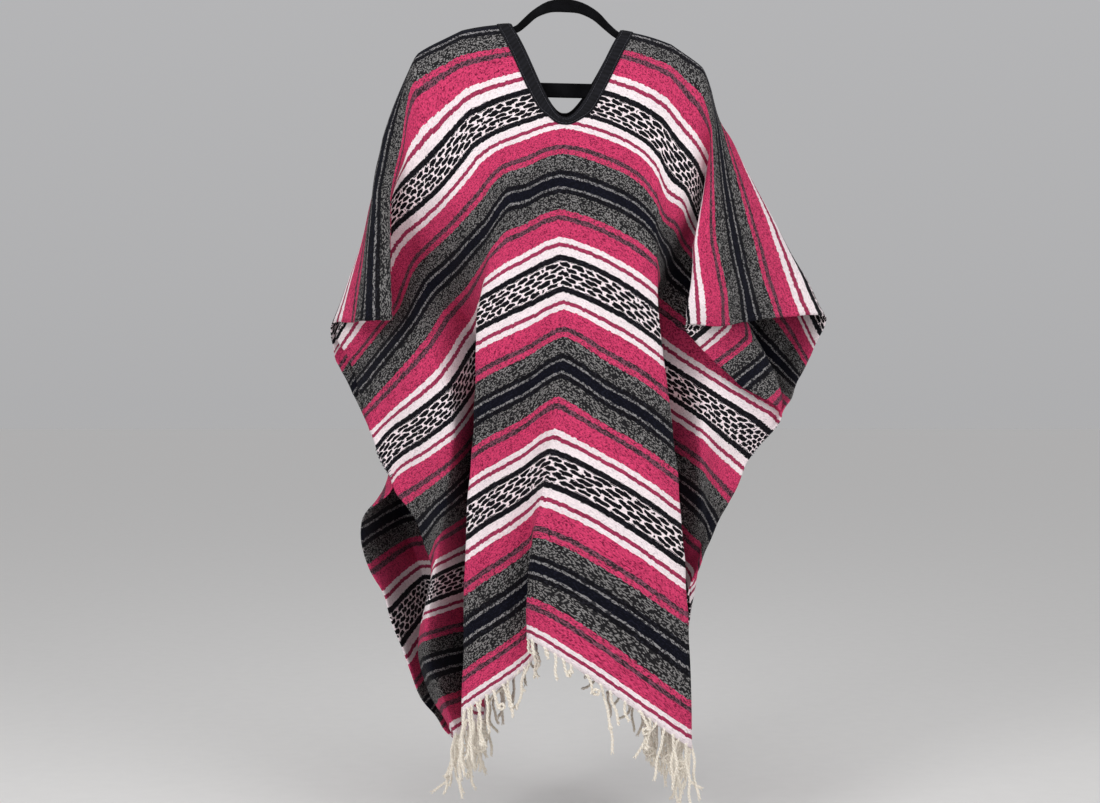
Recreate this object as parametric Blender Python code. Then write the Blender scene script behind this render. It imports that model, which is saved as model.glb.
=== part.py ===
"""A woven blanket poncho hanging on a flat clothes hanger.

One rectangle of striped blanket cloth is folded over the shoulders, with a bound neck hole in its
middle and fringed hems in front and behind. Metres, +Z up, the wearer's front towards -Y. The
origin is the inside top of the hanger's hook, which holds everything up.
"""
import bmesh
import bpy
import numpy as np
from math import cos, pi, radians, sin

MM = 0.001

# The cut: the blanket's width and its length from the shoulder fold to each hem, in mm
CUT_WIDTH = 1350
CUT_FALL = 1025
WALL = 2.0
GAP = 0.3

# The neck hole's half width on the shoulder fold, its depth down each panel, and how round it is,
# from 0 for a straight V to 1 for a parabola
NECK_HALF_WIDTH = 85
NECK_DEPTH = 174
NECK_ROUND = 0.57

# The tape's width on each face of the cloth and its thickness. The mesh line beside it runs a reach
# away from the neck's edge at the sides, and a foot away below
BINDING_WIDTH = 21
BINDING_LEAF = 1.0
BINDING_REACH = 23
BINDING_FOOT = 14

# Below the hook: how far the hanger's top lies under the origin
HOOK_DROP = 70
HOOK_INNER_RADIUS = 22
HOOK_WIRE = 3.6

# The drape. Each fold line runs over the shoulder from the back hem to the front hem, at one place
# across the cut. Its rows, in mm:
#   fall     distance along the cloth from the shoulder fold, negative down the back
#   across   to the right of the hook
#   forward  towards the wearer's front, from the plane of the hanger
#   down     below the top of the hanger
FOLDS = {
    "left selvedge": (-675, (
        (-1025, -180, -70, 1200), (-880, -240, -76, 1120), (-700, -300, -56, 950),
        (-620, -330, -34, 875), (-580, -325, -16, 835), (-500, -280, 4, 770), (-450, -295, 2, 740),
        (-400, -310, -14, 700), (-300, -355, -114, 625), (-200, -390, -148, 560),
        (-130, -385, -96, 515), (-60, -345, -26, 515), (0, -315, 30, 515), (50, -272, 68, 516),
        (100, -338, -60, 508), (160, -380, -106, 530), (225, -360, -106, 568), (300, -338, -64, 618),
        (400, -310, 0, 695), (500, -275, 14, 765), (600, -230, 34, 845), (700, -210, 26, 920),
        (800, -225, 0, 980), (900, -235, -24, 1065), (1025, -175, -20, 1190),
    )),
    "left sleeve fold": (-520, (
        (-1025, -165, -195, 1195), (-900, -205, -194, 1105), (-750, -240, -186, 950),
        (-600, -280, -160, 820), (-450, -285, -140, 655), (-300, -285, -150, 515),
        (-200, -305, -134, 420), (-120, -320, -88, 345), (-50, -310, -24, 310), (0, -302, 27, 313),
        (50, -275, 52, 325), (100, -298, -6, 372), (150, -334, -62, 425), (225, -277, -48, 475),
        (300, -243, 12, 512), (450, -180, 54, 645), (600, -185, 66, 790), (750, -205, 60, 920),
        (900, -215, 40, 1040), (1025, -170, 26, 1170),
    )),
    "left valley": (-380, (
        (-1025, -135, -120, 1175), (-900, -160, -126, 1080), (-750, -195, -136, 935),
        (-600, -215, -140, 785), (-300, -245, -136, 470), (-150, -270, -84, 320), (-50, -291, -18, 224),
        (0, -287, 14, 222), (50, -258, 38, 240), (150, -272, 4, 338), (225, -240, -26, 400),
        (300, -200, -20, 450), (450, -135, -78, 560), (600, -135, -92, 730), (750, -135, -102, 895),
        (900, -135, -106, 1040), (1025, -135, -106, 1175),
    )),
    "left arm end": (-250, (
        (-1025, -130, -215, 1150), (-900, -140, -214, 1035), (-750, -175, -206, 875),
        (-600, -180, -192, 715), (-300, -195, -140, 400), (-150, -220, -76, 255), (-20, -241, -12, 98),
        (0, -236, 0, 88), (20, -241, 12, 103), (150, -205, 44, 270), (300, -150, 46, 400),
        (450, -130, 16, 535), (600, -135, 8, 690), (750, -140, 4, 850), (1025, -145, -4, 1155),
    )),
    "left ridge": (-165, (
        (-1025, -85, -130, 1065), (-750, -110, -134, 790), (-450, -125, -128, 480),
        (-300, -135, -110, 335), (-150, -160, -64, 190), (-15, -165, -11, 60), (0, -165, 0, 50),
        (15, -165, 11, 62), (150, -150, 50, 215), (300, -110, 80, 365), (450, -135, 96, 510),
        (600, -140, 102, 660), (750, -150, 102, 810), (1025, -160, 94, 1125),
    )),
    "middle valley": (-30, (
        (-1025, -50, -206, 1010), (-900, -50, -204, 885), (-750, -45, -194, 730),
        (-450, -35, -154, 430), (-300, -30, -126, 285), (-150, -25, -68, 155), (-15, -25, -11, 46),
        (0, -25, 0, 36), (15, -25, 11, 48), (150, -25, 58, 180), (300, -35, 86, 315),
        (600, -35, 96, 605), (750, -50, 88, 750), (1025, -45, 76, 1035),
    )),
    "middle ridge": (0, (
        (-1025, -5, -210, 1010), (-750, -5, -198, 730), (-600, -5, -180, 575), (-450, -5, -156, 430),
        (-300, 0, -128, 280), (-150, 0, -70, 150), (-15, 5, -11, 47), (0, 5, 0, 37), (15, 5, 11, 49),
        (150, 0, 58, 180), (300, -10, 88, 310), (600, -5, 112, 590), (750, -25, 118, 735),
        (900, -55, 118, 885), (1025, -60, 114, 1005),
    )),
    "right ridge": (180, (
        (-1025, 80, -130, 1080), (-900, 85, -132, 955), (-600, 110, -134, 650), (-300, 145, -112, 345),
        (-150, 165, -66, 205), (-15, 170, -11, 82), (0, 170, 0, 72), (15, 170, 11, 84),
        (150, 150, 52, 230), (300, 140, 78, 365), (450, 145, 92, 525), (600, 165, 96, 695),
        (900, 190, 88, 1010), (1025, 195, 84, 1180),
    )),
    "right arm end": (250, (
        (-1025, 130, -212, 1140), (-900, 135, -210, 1025), (-750, 145, -202, 865),
        (-450, 180, -170, 545), (-300, 200, -138, 390), (-150, 220, -76, 260), (-20, 226, -12, 121),
        (0, 220, 0, 110), (20, 221, 12, 124), (75, 210, 28, 195), (150, 195, 42, 280),
        (300, 160, 44, 395), (450, 135, 14, 540), (600, 150, 6, 710), (900, 170, -4, 1020),
        (1025, 175, -10, 1180),
    )),
    "right valley": (360, (
        (-1025, 145, -130, 1165), (-900, 150, -136, 1065), (-600, 180, -150, 765),
        (-300, 250, -148, 435), (-150, 285, -96, 270), (-110, 280, -70, 230), (-60, 255, -38, 195),
        (0, 240, 6, 195), (50, 232, 30, 210), (100, 230, 8, 258), (150, 219, -6, 318),
        (300, 180, -14, 420), (450, 120, -78, 560), (600, 125, -92, 725), (750, 130, -104, 885),
        (900, 135, -106, 1025), (1025, 140, -106, 1165),
    )),
    "right panel": (500, (
        (-1025, 180, -198, 1205), (-750, 195, -196, 975), (-600, 230, -180, 825),
        (-450, 285, -150, 680), (-300, 325, -166, 530), (-200, 350, -140, 420), (-115, 350, -86, 355),
        (-70, 310, -40, 350), (0, 265, 14, 375), (60, 230, 50, 390), (110, 200, 66, 400),
        (160, 240, 0, 420), (300, 285, -30, 530), (450, 220, 38, 645), (600, 210, 34, 795),
        (675, 200, -14, 875), (900, 185, -64, 1075), (1025, 190, -70, 1190),
    )),
    "right lapel": (600, (
        (-1025, 195, -150, 1215), (-900, 200, -152, 1115), (-600, 245, -110, 845),
        (-450, 305, -40, 705), (-395, 335, -58, 660), (-300, 365, -130, 580), (-200, 395, -138, 495),
        (-135, 405, -102, 445), (-70, 335, -42, 435), (0, 285, 16, 470), (70, 239, 61, 485),
        (130, 190, 76, 490), (180, 244, 10, 512), (300, 325, -8, 575), (395, 340, 0, 660),
        (450, 280, 18, 690), (675, 215, 4, 890), (750, 195, -8, 960), (900, 190, -20, 1095),
        (1025, 195, -26, 1195),
    )),
    "right selvedge": (675, (
        (-1025, 190, -96, 1215), (-900, 195, -96, 1120), (-750, 205, -84, 990), (-600, 230, -48, 850),
        (-450, 305, -6, 710), (-395, 345, -6, 670), (-300, 385, -84, 610), (-200, 420, -122, 550),
        (-145, 435, -104, 505), (-70, 360, -42, 505), (0, 295, 16, 515), (70, 240, 54, 525),
        (140, 185, 84, 525), (200, 215, 46, 560), (300, 275, 30, 615), (395, 343, 28, 668),
        (450, 313, 26, 712), (600, 240, 6, 845), (675, 210, 22, 910), (750, 190, 34, 960),
        (900, 190, 28, 1075), (1025, 195, 22, 1170),
    )),
}

# Strips of cloth between neighbouring fold lines, and how many mesh columns each gets
COLUMNS_BETWEEN = (4, 4, 3, 2, 4, 1, 5, 2, 3, 4, 3, 2)

# Falls of the mesh rows beside the neck, down to the bottom of its binding, and of those below
NECK_FALLS = (8, 20, 38, 60, 84, 108, 130, 150, 168, 180, NECK_DEPTH + BINDING_FOOT)
LOWER_FALLS = (225, 262, 300, 345, 395, 450, 510, 570, 630, 690, 750, 810, 870, 935, CUT_FALL)

# Mesh columns within this distance of the middle are drawn out around the neck
SHOULDER = 160.0

# The longest a wall offset grows on the hollow side of a sharp fold, in half walls
MITRE_LIMIT = 14.0

# The fringe: its strands' side at the root, the strip of warp ends that holds them, its thickness
# as a share of the cloth's wall, the strands' lengths, and the mesh columns that carry none
STRAND_SIDE = 3.2
STRIP_GAP = 0.8
STRIP_HEIGHT = 3.0
STRIP_SHARE = 0.9
STRAND_SHORT = 48
STRAND_LONG = 120
FRONT_BARE = (16,)
BACK_BARE = (13,)

# The flat hanger, along its centreline clockwise from the trouser bar's left end:
# across, down and the band's height, all in mm
HANGER_THICK = 6.0
ARCH_MIDDLE = 9
ARCH_HEIGHT = 21
HANGER_LOOP = (
    (-185, 143, 23), (-90, 143, 23), (0, 145, 23), (90, 147, 23), (178, 150, 23), (205, 145, 14),
    (214, 129, 11), (204, 111, 11), (186, 94, 12), (150, 75, 12), (118, 65, 12), (92, 60, 11),
    (80, 54, 11), (66, 42, 12), (48, 25, 15), (25, 13, 18), (0, ARCH_MIDDLE, ARCH_HEIGHT),
    (-25, 11, 18), (-48, 22, 13), (-64, 36, 12), (-76, 46, 11), (-90, 50, 11), (-115, 52, 12),
    (-150, 58, 12), (-172, 64, 12), (-194, 73, 12), (-214, 87, 11), (-226, 105, 11), (-218, 128, 14),
)
LOOP_STEPS = 3


def material(name, colour, roughness, metallic=0.0):
    """A plain Principled BSDF."""
    made = bpy.data.materials.new(name)
    made.use_nodes = True
    shader = made.node_tree.nodes["Principled BSDF"]
    shader.inputs["Base Color"].default_value = (*colour, 1.0)
    shader.inputs["Roughness"].default_value = roughness
    shader.inputs["Metallic"].default_value = metallic
    return made


def through(knots, points, at):
    """Smooth curves through points at the knots, read where at says.

    Cubic between knots, with the slope at a knot the mean of the slopes beside it. points is
    (samples or 1, knots, 3) and at is (samples,), so each sample can have a curve of its own.
    """
    knots = np.asarray(knots, float)
    step = np.diff(knots)[None, :, None]
    rise = np.diff(points, axis=1) / step
    slope = np.empty_like(points)
    mixed = rise[:, 1:] * step[:, :-1] + rise[:, :-1] * step[:, 1:]
    slope[:, 1:-1] = 0.9 * mixed / (step[:, 1:] + step[:, :-1])
    slope[:, 0] = rise[:, 0]
    slope[:, -1] = rise[:, -1]
    k = np.clip(np.searchsorted(knots, at, side="right") - 1, 0, len(knots) - 2)
    row = np.arange(len(at)) if len(points) > 1 else np.zeros(len(at), int)
    width = step[0, k]
    s = (np.asarray(at, float) - knots[k])[:, None] / width
    return (
        (2 * s**3 - 3 * s**2 + 1) * points[row, k]
        + (s**3 - 2 * s**2 + s) * width * slope[row, k]
        + (3 * s**2 - 2 * s**3) * points[row, k + 1]
        + (s**3 - s**2) * width * slope[row, k + 1]
    )


def cloth(cut, fall):
    """The middle of the cloth, in metres, at places across the cut and along its fall, in mm."""
    cut = np.asarray(cut, float)
    fall = np.asarray(fall, float)
    lines = []
    for _, rows in FOLDS.values():
        rows = np.array(rows, float)
        lines.append(through(rows[:, 0], rows[None, :, 1:], fall))
    across = through([place for place, _ in FOLDS.values()], np.stack(lines, 1), cut)
    x, forward, down = across.T
    return np.stack([x, -forward, -down - HOOK_DROP], 1) * MM


def frame_at(cut, fall, reach=1.5):
    """The cloth's outward normal and its downhill direction, both unit, at places on the cut."""
    cut = np.asarray(cut, float)
    fall = np.asarray(fall, float)
    inner = np.clip(cut, -CUT_WIDTH / 2 + reach, CUT_WIDTH / 2 - reach)
    lower = np.clip(fall, -CUT_FALL + reach, CUT_FALL - reach)
    along = cloth(inner + reach, lower) - cloth(inner - reach, lower)
    downhill = cloth(inner, lower + reach) - cloth(inner, lower - reach)
    normal = np.cross(downhill, along)
    normal /= np.linalg.norm(normal, axis=1)[:, None]
    downhill /= np.linalg.norm(downhill, axis=1)[:, None]
    return -normal, downhill


def solid(name, points, faces, finish):
    """A named closed mesh with its faces pointing out."""
    mesh = bpy.data.meshes.new(name)
    mesh.from_pydata([tuple(p) for p in points], [], [tuple(map(int, f)) for f in faces])
    shape = bmesh.new()
    shape.from_mesh(mesh)
    bmesh.ops.recalc_face_normals(shape, faces=shape.faces)
    shape.to_mesh(mesh)
    shape.free()
    mesh.shade_smooth()
    mesh.set_sharp_from_angle(angle=radians(50))
    mesh.materials.append(finish)
    thing = bpy.data.objects.new(name, mesh)
    bpy.context.scene.collection.objects.link(thing)
    return thing


def tube(rings, ring_around=False):
    """Faces that join rings of points in turn, with end caps unless the tube closes on itself."""
    count, sides = rings.shape[:2]
    faces = []
    for i in range(count if ring_around else count - 1):
        j = (i + 1) % count
        for k in range(sides):
            m = (k + 1) % sides
            faces.append((i * sides + k, i * sides + m, j * sides + m, j * sides + k))
    if not ring_around:
        faces.append(tuple(range(sides)))
        faces.append(tuple((count - 1) * sides + k for k in range(sides)))
    return faces


def neck_half_width(share, half_width):
    """Half the width of the neck hole at a share of its depth: near straight sides, a round foot."""
    left = 1 - np.clip(share, 0, 1)
    return half_width * np.sqrt(left * (NECK_ROUND + (1 - NECK_ROUND) * left))


def panel_columns():
    """Places across the cut of the mesh columns, the same fold lines included."""
    places = [place for place, _ in FOLDS.values()]
    columns = [places[0]]
    for a, b, n in zip(places, places[1:], COLUMNS_BETWEEN):
        columns += list(np.linspace(a, b, n + 1)[1:])
    return np.array(columns, float)


def panel_grid(half):
    """The cut of one half of a panel, as rows of (across, fall) from the middle to the selvedge.

    Down to the bottom of the binding, column 0 is the neck's edge, column 1 is the line where the
    binding ends, and the columns beside them are drawn out to clear it. Further down column 0 is
    the middle of the panel.
    """
    columns = panel_columns()
    strip = np.sort(np.abs(columns[columns * half >= 0]))
    falls = np.concatenate([[GAP / 2], NECK_FALLS, LOWER_FALLS])
    bound = NECK_HALF_WIDTH + BINDING_REACH
    rows = []
    for fall in falls:
        share = fall / (NECK_DEPTH + BINDING_FOOT)
        clear = neck_half_width(share, bound)
        pushed = clear + (strip - strip[1]) * (SHOULDER - clear) / (SHOULDER - strip[1])
        across = np.where((strip < SHOULDER) & (share <= 1), pushed, strip)
        inner_fall = fall
        across[0] = 0
        if share <= 1:
            inner_fall = share * NECK_DEPTH
            across[0] = neck_half_width(share, NECK_HALF_WIDTH)
        down = np.full(len(strip), fall)
        down[0] = max(inner_fall, GAP / 2)
        rows.append(np.stack([half * across, down], 1))
    return np.array(rows)


def cut_quads(middle, faces):
    """Each four-sided face cut in two along its shorter diagonal, so both faces of a wall agree."""
    cut = []
    for face in faces:
        if len(face) == 3:
            cut.append(face)
            continue
        a, b, c, d = face
        if np.linalg.norm(middle[a] - middle[c]) < np.linalg.norm(middle[b] - middle[d]):
            cut += [(a, b, c), (a, c, d)]
        else:
            cut += [(a, b, d), (b, c, d)]
    return cut


def wall_offsets(middle, outward, faces, at_fold):
    """Vectors from the middle of the cloth to its outer and inner face at each point.

    On the hollow side of a sharp fold they are lengthened, so that the two layers beside the fold
    keep their wall; on its outside they stay at half the wall. At the shoulder fold both panels
    take the drape's own normal, so that they meet edge to edge.
    """
    flats = []
    total = np.zeros_like(middle)
    pull = np.zeros_like(middle)
    for face in faces:
        corner = middle[list(face)]
        flat = np.cross(corner[2] - corner[0], corner[-1] - corner[1])
        flat /= np.linalg.norm(flat)
        if np.dot(flat, outward[list(face)].sum(0)) < 0:
            flat = -flat
        flats.append(flat)
        for k, point in enumerate(face):
            total[point] += flat
            pull[point] += corner[(k + 1) % len(face)] + corner[k - 1] - 2 * corner[k]
    normal = total / np.linalg.norm(total, axis=1)[:, None]
    least = np.ones(len(middle))
    for face, flat in zip(faces, flats):
        for point in face:
            least[point] = min(least[point], np.dot(flat, normal[point]))
    normal[at_fold] = outward[at_fold]
    least[at_fold] = 1
    more = np.clip(1 / np.maximum(least, 0.03), 1, MITRE_LIMIT)
    hollow = np.sum(pull * normal, axis=1) > 0
    outer = np.where(hollow, more, 1)[:, None] * normal * WALL / 2 * MM
    inner = np.where(hollow, 1, more)[:, None] * normal * WALL / -2 * MM
    return outer, inner


def panel(name, side, finish):
    """One panel from just beside the shoulder fold to its hem, and the lines that its binding and
    its fringe are made from."""
    places, faces = [], []
    grids = []
    neck_rows = len(NECK_FALLS)
    for half in (-1, 1):
        grid = panel_grid(half)
        base = sum(len(p) for p in places)
        rows, cols = grid.shape[:2]
        places.append(grid.reshape(-1, 2))
        number = base + np.arange(rows * cols).reshape(rows, cols)
        grids.append(number)
        for i in range(rows - 1):
            for j in range(cols - 1):
                a, b, c, d = number[i, j], number[i, j + 1], number[i + 1, j + 1], number[i + 1, j]
                if j == 0 and i < neck_rows:
                    faces += [(a, b, c), (a, c, d)]
                elif j == 0 and i == neck_rows:
                    faces.append((b, c, d))
                else:
                    faces.append((a, b, c, d))
    flat, back = np.unique(np.round(np.concatenate(places), 4), axis=0, return_inverse=True)
    back = back.reshape(-1)
    faces = [tuple(int(back[p]) for p in face) for face in faces]
    grids = [back[number] for number in grids]
    middle = cloth(flat[:, 0], side * flat[:, 1])
    normal, downhill = frame_at(flat[:, 0], side * flat[:, 1])
    outer, inner = wall_offsets(middle, normal, faces, flat[:, 1] <= GAP / 2)
    faces = cut_quads(middle, faces)
    points = np.concatenate([middle + outer, middle + inner])
    n = len(flat)
    shell = list(faces) + [tuple(p + n for p in face[::-1]) for face in faces]
    rim = []
    uses = {}
    for face in faces:
        for k, a in enumerate(face):
            b = face[(k + 1) % len(face)]
            uses.setdefault((min(a, b), max(a, b)), []).append((a, b))
    for pairs in uses.values():
        if len(pairs) == 1:
            a, b = pairs[0]
            rim.append((b, a, a + n, b + n))
    solid(name, points, shell + cut_quads(points, rim), finish)
    left, right = grids
    ring = [(right[i, 0], right[i, 1]) for i in range(neck_rows + 1)]
    ring += [(left[i, 0], left[i, 1]) for i in range(neck_rows - 1, -1, -1)]
    edge = [(middle[a], outer[a], inner[a], middle[b], outer[b], inner[b]) for a, b in ring]
    hem = np.concatenate([left[-1, ::-1], right[-1, 1:]])
    return np.array(edge), (middle[hem], outer[hem], inner[hem], downhill[hem] * side)


def neck_binding(front_edge, back_edge, finish):
    """The tape folded over the neck's edge: a U section whose leaves lie over the panels' own
    faces, outside and inside."""
    edge = np.concatenate([front_edge, back_edge[::-1]])
    start, start_out, start_in, end, end_out, end_in = np.moveaxis(edge, 1, 0)
    share = BINDING_WIDTH / BINDING_REACH
    far = start + (end - start) * share
    far_out = start_out + (end_out - start_out) * share
    far_in = start_in + (end_in - start_in) * share
    inward = start - end
    inward /= np.linalg.norm(inward, axis=1)[:, None]
    near = start + inward * GAP * MM
    tip = start + inward * (GAP + BINDING_LEAF) * MM
    close = 1 + GAP / (WALL / 2)
    wide = 1 + (GAP + BINDING_LEAF) / (WALL / 2)
    rings = np.stack([
        far + far_out * wide, tip + start_out * wide, tip + start_in * wide, far + far_in * wide,
        far + far_in * close, near + start_in * close, near + start_out * close, far + far_out * close,
    ], 1)
    far_corners = (0, 3, 4, 7)
    down = len(NECK_FALLS)
    row = list(range(down + 1)) + list(range(down - 1, -1, -1))
    row = row + row
    faces = []
    for i in range(len(row)):
        j = (i + 1) % len(row)
        for k in range(8):
            m = (k + 1) % 8
            quad = (i * 8 + k, i * 8 + m, j * 8 + m, j * 8 + k)
            if (k in far_corners) == (m in far_corners):
                faces.append(quad)
            # cut like the panel's faces, from the neck's edge to the end of the tape one row down
            elif (k in far_corners) == (row[i] > row[j]):
                faces += [quad[:3], (quad[0], quad[2], quad[3])]
            else:
                faces += [(quad[0], quad[1], quad[3]), quad[1:]]
    return solid("neck_binding", rings.reshape(-1, 3), faces, finish)


def between_columns(stations, columns, values):
    """Straight between the panel's mesh columns, so that the strip keeps to the panel's edge."""
    return np.stack([np.interp(stations, columns, values[:, k]) for k in range(3)], 1)


def strand_length(i, count):
    """Strands are longest at the hem's corners and uneven between, in mm."""
    corner = abs(2 * i / (count - 1) - 1) ** 1.5
    uneven = 0.5 + 0.5 * sin(i * 2.4 + sin(i * 1.1))
    return STRAND_SHORT + (STRAND_LONG - STRAND_SHORT) * (0.65 * corner + 0.35 * uneven)


def fringe(name, hem, skipped, finish):
    """The warp ends below one hem: a strip parted from the cloth, strands drawn from its foot.

    A strand hangs from the middle of each mesh column, but for the skipped ones.
    """
    middle, outer, inner, downhill = hem
    columns = np.arange(len(middle), dtype=float)
    along = np.gradient(middle, axis=0)
    along /= np.linalg.norm(along, axis=1)[:, None]
    downhill = downhill - along * np.sum(downhill * along, axis=1)[:, None]
    downhill /= np.linalg.norm(downhill, axis=1)[:, None]
    width = np.linalg.norm(np.diff(middle, axis=0), axis=1)
    roots = [k for k in range(len(width)) if k not in skipped]
    stations = [0.0]
    for k in range(len(width)):
        half = STRAND_SIDE * MM / 2 / width[k]
        if k in roots:
            stations += [k + 0.5 - half, k + 0.5 + half]
        stations.append(k + 1.0)
    stations = np.array(stations)
    edge = between_columns(stations, columns, middle)
    fall = between_columns(stations, columns, downhill)
    out = between_columns(stations, columns, outer) * STRIP_SHARE
    into = between_columns(stations, columns, inner) * STRIP_SHARE
    start = edge + fall * STRIP_GAP * MM
    foot = start + fall * STRIP_HEIGHT * MM
    rings = np.stack([start + out, start + into, foot + into, foot + out], 1)
    points = [tuple(p) for p in rings.reshape(-1, 3)]
    rooted = {}
    for k in roots:
        rooted[int(np.searchsorted(stations, k + 0.5)) - 1] = k
    faces = []
    for f in tube(rings):
        first = min(f) // 4
        under = len(f) == 4 and {p % 4 for p in f} == {2, 3} and max(f) // 4 == first + 1
        if not (under and first in rooted):
            faces.append(f)
    faces = cut_quads(np.array(points), faces)
    for station, k in rooted.items():
        corners = [station * 4 + 2, station * 4 + 3, station * 4 + 7, station * 4 + 6]
        quad = np.array([points[c] for c in corners])
        centre = quad.mean(0)
        spread = quad - centre
        length = strand_length(k, len(width)) * MM
        before = corners
        for share, thick in ((0.08, 0.9), (0.55, 0.9), (1.0, 0.55)):
            drift = np.array([0.03 * sin(k * 0.45), 0.02 * cos(k * 0.4), 0.0]) * length * share**2
            place = centre + fall[station] * 0.004 + drift - np.array([0, 0, share * length])
            ring = place + spread * (thick, thick, 0.3 * thick)
            base = len(points)
            points += [tuple(p) for p in ring]
            now = [base + m for m in range(4)]
            for m in range(4):
                o = (m + 1) % 4
                faces.append((before[m], before[o], now[o], now[m]))
            before = now
        faces.append(tuple(before))
    return solid(name, points, faces, finish)


def hanger_frame(finish):
    """The flat hanger: an eight-cornered section swept round the arms, the arch and the bar."""
    loop = np.array(HANGER_LOOP, float)
    n = len(loop)
    wrapped = np.concatenate([loop[-3:], loop, loop[:3]])
    t = np.arange(n * LOOP_STEPS) / LOOP_STEPS
    path = through(np.arange(-3, n + 3), wrapped[None], t)
    run = np.roll(path, -1, axis=0)[:, :2] - np.roll(path, 1, axis=0)[:, :2]
    run /= np.linalg.norm(run, axis=1)[:, None]
    across = np.stack([run[:, 1], np.zeros(len(run)), run[:, 0]], 1)
    middle = np.stack([path[:, 0], np.zeros(len(path)), -path[:, 1] - HOOK_DROP], 1)
    half = path[:, 2:3] / 2
    thick = np.array([0, HANGER_THICK / 2, 0])
    soft = 1.6
    section = []
    for a, b in ((1, -0.5), (1, 0.5), (0.8, 1), (-0.8, 1), (-1, 0.5), (-1, -0.5), (-0.8, -1), (0.8, -1)):
        reach = np.sign(a) * np.where(abs(a) == 1, half, half - soft)
        section.append(middle + across * reach + thick * b)
    rings = np.stack(section, 1) * MM
    return solid("hanger_frame", rings.reshape(-1, 3), tube(rings, ring_around=True), finish)


def hanger_hook(finish):
    """The wire hook: a stem up from the arch, a round bend past the top and a short tip."""
    radius = HOOK_INNER_RADIUS + HOOK_WIRE / 2
    centre = -HOOK_INNER_RADIUS
    stem_foot = -HOOK_DROP - ARCH_MIDDLE + ARCH_HEIGHT / 2 + GAP
    bend = [radians(a) for a in np.linspace(-62, 172, 18)]
    path = [(0, stem_foot), (0, stem_foot + 14)]
    path += [(radius * cos(a), centre + radius * sin(a)) for a in bend]
    path = np.array([(x, z) for x, z in path])
    run = np.gradient(path, axis=0)
    run /= np.linalg.norm(run, axis=1)[:, None]
    side = np.stack([-run[:, 1], np.zeros(len(run)), run[:, 0]], 1)
    middle = np.stack([path[:, 0], np.zeros(len(path)), path[:, 1]], 1)
    turn = np.arange(8) * pi / 4
    ring = side[:, None] * np.cos(turn)[None, :, None] + np.array([0, 1, 0]) * np.sin(turn)[None, :, None]
    rings = (middle[:, None] + ring * HOOK_WIRE / 2) * MM
    return solid("hanger_hook", rings.reshape(-1, 3), tube(rings), finish)


def main():
    for thing in list(bpy.data.objects):
        bpy.data.objects.remove(thing)
    blanket = material("striped_blanket_cloth", (0.45, 0.06, 0.15), 0.95)
    tape = material("black_binding_tape", (0.008, 0.008, 0.011), 0.8)
    yarn = material("undyed_warp_yarn", (0.72, 0.66, 0.57), 0.9)
    flock = material("black_flocked_plastic", (0.006, 0.006, 0.007), 0.9)
    chrome = material("chrome_wire", (0.6, 0.6, 0.62), 0.15, 1.0)
    front_edge, front_hem = panel("front_panel", 1, blanket)
    back_edge, back_hem = panel("back_panel", -1, blanket)
    neck_binding(front_edge, back_edge, tape)
    fringe("front_fringe", front_hem, FRONT_BARE, yarn)
    fringe("back_fringe", back_hem, BACK_BARE, yarn)
    hanger_frame(flock)
    hanger_hook(chrome)


main()
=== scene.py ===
from math import pi

import bmesh
import bpy
import numpy as np
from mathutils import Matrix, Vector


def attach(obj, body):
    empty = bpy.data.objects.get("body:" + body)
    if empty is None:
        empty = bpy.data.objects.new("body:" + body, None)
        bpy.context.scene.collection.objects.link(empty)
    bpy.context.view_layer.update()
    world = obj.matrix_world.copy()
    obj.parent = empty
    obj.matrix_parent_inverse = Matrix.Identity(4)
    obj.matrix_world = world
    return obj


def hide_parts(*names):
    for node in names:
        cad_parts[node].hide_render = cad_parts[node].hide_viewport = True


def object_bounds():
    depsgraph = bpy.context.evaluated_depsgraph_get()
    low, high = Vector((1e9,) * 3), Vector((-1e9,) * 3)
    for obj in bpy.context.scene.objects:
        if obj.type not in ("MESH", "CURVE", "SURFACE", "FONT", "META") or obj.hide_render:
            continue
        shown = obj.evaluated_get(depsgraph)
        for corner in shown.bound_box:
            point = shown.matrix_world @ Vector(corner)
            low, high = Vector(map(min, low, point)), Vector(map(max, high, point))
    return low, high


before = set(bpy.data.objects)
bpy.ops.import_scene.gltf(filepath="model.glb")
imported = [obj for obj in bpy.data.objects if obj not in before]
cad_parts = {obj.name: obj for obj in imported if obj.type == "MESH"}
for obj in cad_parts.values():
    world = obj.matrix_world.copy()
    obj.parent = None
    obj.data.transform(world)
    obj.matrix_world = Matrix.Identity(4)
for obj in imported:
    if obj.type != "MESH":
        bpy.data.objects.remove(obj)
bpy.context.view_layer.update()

# The camera stands 2.6 m in front of the hanger, level with the middle of the garment, as for the
# photograph: the frame is 1.76 m wide at the hanger. The plain view setting keeps the dyes bright.
CAMERA_AWAY = 2.6
FRAME_WIDTH = 1.76
CAMERA_ACROSS = -0.024
CAMERA_HEIGHT = -0.7124

camera = bpy.data.objects.new("camera", bpy.data.cameras.new("camera"))
camera.data.sensor_width = 36
camera.data.lens = 36 * CAMERA_AWAY / FRAME_WIDTH
camera.location = (CAMERA_ACROSS, -CAMERA_AWAY, CAMERA_HEIGHT)
camera.rotation_euler = (pi / 2, 0, 0)
bpy.context.scene.collection.objects.link(camera)
bpy.context.scene.camera = camera
bpy.context.scene.view_settings.view_transform = "Standard"

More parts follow.
